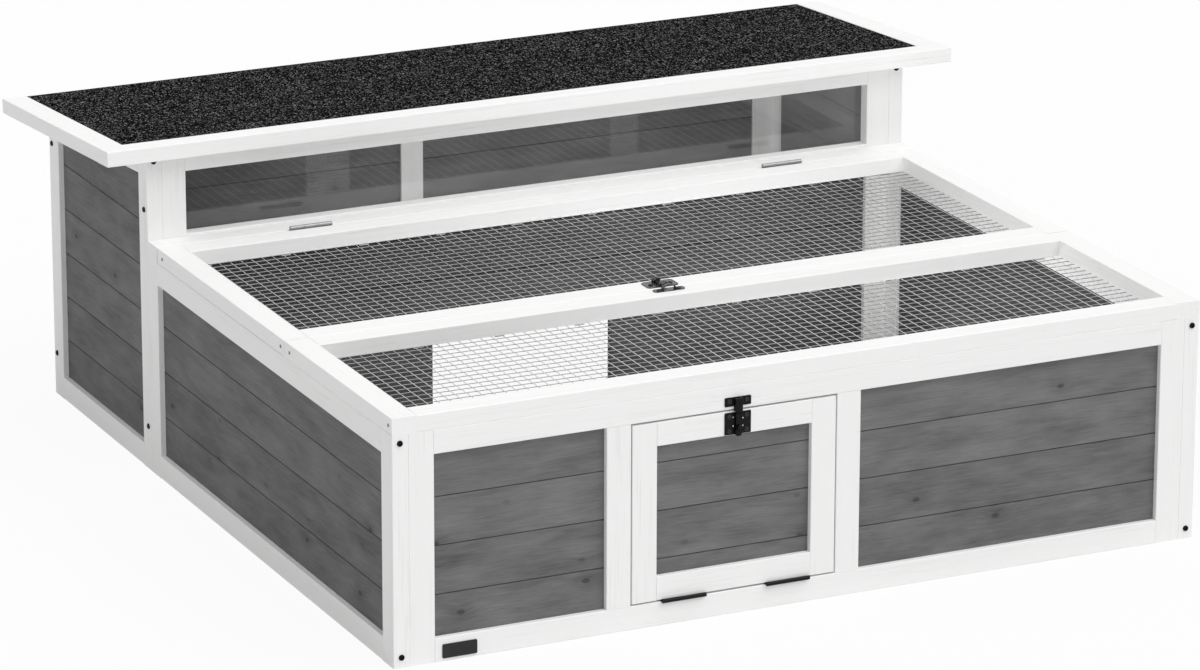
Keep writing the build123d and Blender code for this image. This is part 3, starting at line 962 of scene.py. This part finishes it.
class HOUSE_OT_set_stage(bpy.types.Operator):
    """Add the floor, the light and the camera"""

    bl_idname = "tortoise_house.set_stage"
    bl_label = "Set Stage"

    def execute(self, context):
        settings = context.scene.house_stage
        self.lay_floor(context.scene.house_colours.floor, settings.glow)
        self.light(context.scene, settings)
        self.aim_camera(context.scene)
        return {"FINISHED"}

    def seen(self, nodes):
        """1 for rays from the camera, a mirror or a pane."""
        camera = nodes.node("ShaderNodeLightPath", {}, {}, "Is Camera Ray")
        every = camera + camera.other("Is Glossy Ray") + camera.other("Is Transmission Ray")
        return every > 0.5

    def lay_floor(self, colour, glow):
        start()
        bpy.ops.mesh.primitive_plane_add(size=60, location=(0, 0, 0))
        floor = bpy.context.object
        floor.name = "floor"
        look = Surface("white_floor", Base_Color=opaque(colour), Roughness=1.0, Specular_IOR_Level=0.0)
        white = look.node("ShaderNodeEmission", {}, {"Color": (1, 1, 1, 1), "Strength": 1.0})
        ground = Field(look, look.shader.outputs[0])
        mixed = look.node("ShaderNodeMixShader", {}, {0: self.seen(look) * glow, 1: ground, 2: white})
        look.feed(look.tree.nodes["Material Output"].inputs["Surface"], mixed)
        floor.data.materials.append(look.material)

    def light(self, scene, settings):
        world = bpy.data.worlds.new("white_world")
        world.use_nodes = True
        scene.world = world
        nodes = Nodes(world.node_tree)
        sky = world.node_tree.nodes["Background"]
        sky.inputs["Color"].default_value = (1, 1, 1, 1)
        strength = settings.ambient + (1.0 - settings.ambient) * self.seen(nodes)
        nodes.feed(sky.inputs["Strength"], strength)
        towards = Vector((0.2, -0.255, 0.53))
        start()
        bpy.ops.object.light_add(type="SUN", location=(1, -2, 3))
        lamp = bpy.context.object
        lamp.name = "soft_lamp"
        lamp.rotation_euler = (-towards).to_track_quat("-Z", "Y").to_euler()
        lamp.data.energy = settings.key
        lamp.data.angle = math.radians(60)
        house, house_size = (85 * MM, DIVIDER + 4 * MM, 240 * MM), (690 * MM, 200 * MM)
        self.hang_lamp("house_lamp", house, (0, 1, 0), house_size, settings.inside)
        middle = (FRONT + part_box("divider_stiles")[0].y) / 2
        run, run_size = (190 * MM, middle - 60 * MM, 4 * MM), (500 * MM, 520 * MM)
        self.hang_lamp("run_lamp", run, UP, run_size, settings.run)

    def hang_lamp(self, name, place, way, size, power):
        """Add a flat lamp that only shows by its light."""
        start()
        bpy.ops.object.light_add(type="AREA", location=place)
        lamp = bpy.context.object
        lamp.name = name
        lamp.rotation_euler = Vector(way).to_track_quat("-Z", "Y").to_euler()
        lamp.data.shape = "RECTANGLE"
        lamp.data.size, lamp.data.size_y = size
        lamp.data.energy = power
        lamp.visible_camera = lamp.visible_glossy = lamp.visible_transmission = False

    def aim_camera(self, scene):
        """Put the camera where the corners of the house fall on those of the photograph."""
        start()
        bpy.ops.object.camera_add(location=(LEFT - 2.26605, FRONT - 5.27755, 2.21162))
        camera = bpy.context.object
        yaw, pitch, roll = 0.4407, 0.3011, 0.0015
        aim = Quaternion((0, 0, 1), -yaw) @ Quaternion((1, 0, 0), math.pi / 2 - pitch)
        camera.rotation_mode = "QUATERNION"
        camera.rotation_quaternion = aim @ Quaternion((0, 0, 1), roll)
        camera.data.sensor_width = 36
        camera.data.lens = 179.094
        camera.data.shift_x = 0.007785
        camera.data.shift_y = -0.05329
        camera.data.clip_end = 100
        scene.view_settings.view_transform = "Standard"
        scene.camera = camera


STEPS = (
    HOUSE_OT_paint_timber,
    HOUSE_OT_stain_planks,
    HOUSE_OT_lay_felt,
    HOUSE_OT_glaze_window,
    HOUSE_OT_weld_nets,
    HOUSE_OT_staple_nets,
    HOUSE_OT_fit_hardware,
    HOUSE_OT_fix_badge,
    HOUSE_OT_set_stage,
)


class HOUSE_PT_build(bpy.types.Panel):
    """Steps and settings in the 3D view's sidebar"""

    bl_idname = "HOUSE_PT_build"
    bl_label = "Tortoise House"
    bl_space_type = "VIEW_3D"
    bl_region_type = "UI"
    bl_category = "Tortoise House"

    def draw(self, context):
        layout = self.layout
        for step in STEPS:
            layout.operator(step.bl_idname)
        scene = context.scene
        for group in (scene.house_sizes, scene.house_colours, scene.house_stage):
            for name in group.__annotations__:
                layout.prop(group, name)


GROUPS = {"house_colours": HouseColours, "house_sizes": HouseSizes, "house_stage": HouseStage}


def register():
    for group in GROUPS.values():
        bpy.utils.register_class(group)
    for name, group in GROUPS.items():
        setattr(bpy.types.Scene, name, bpy.props.PointerProperty(type=group))
    for step in (*STEPS, HOUSE_PT_build):
        bpy.utils.register_class(step)


def unregister():
    for step in (HOUSE_PT_build, *reversed(STEPS)):
        bpy.utils.unregister_class(step)
    for name in GROUPS:
        delattr(bpy.types.Scene, name)
    for group in GROUPS.values():
        bpy.utils.unregister_class(group)


def main():
    register()
    for step in STEPS:
        family, name = step.bl_idname.split(".")
        getattr(getattr(bpy.ops, family), name)()


if __name__ == "__main__":
    main()
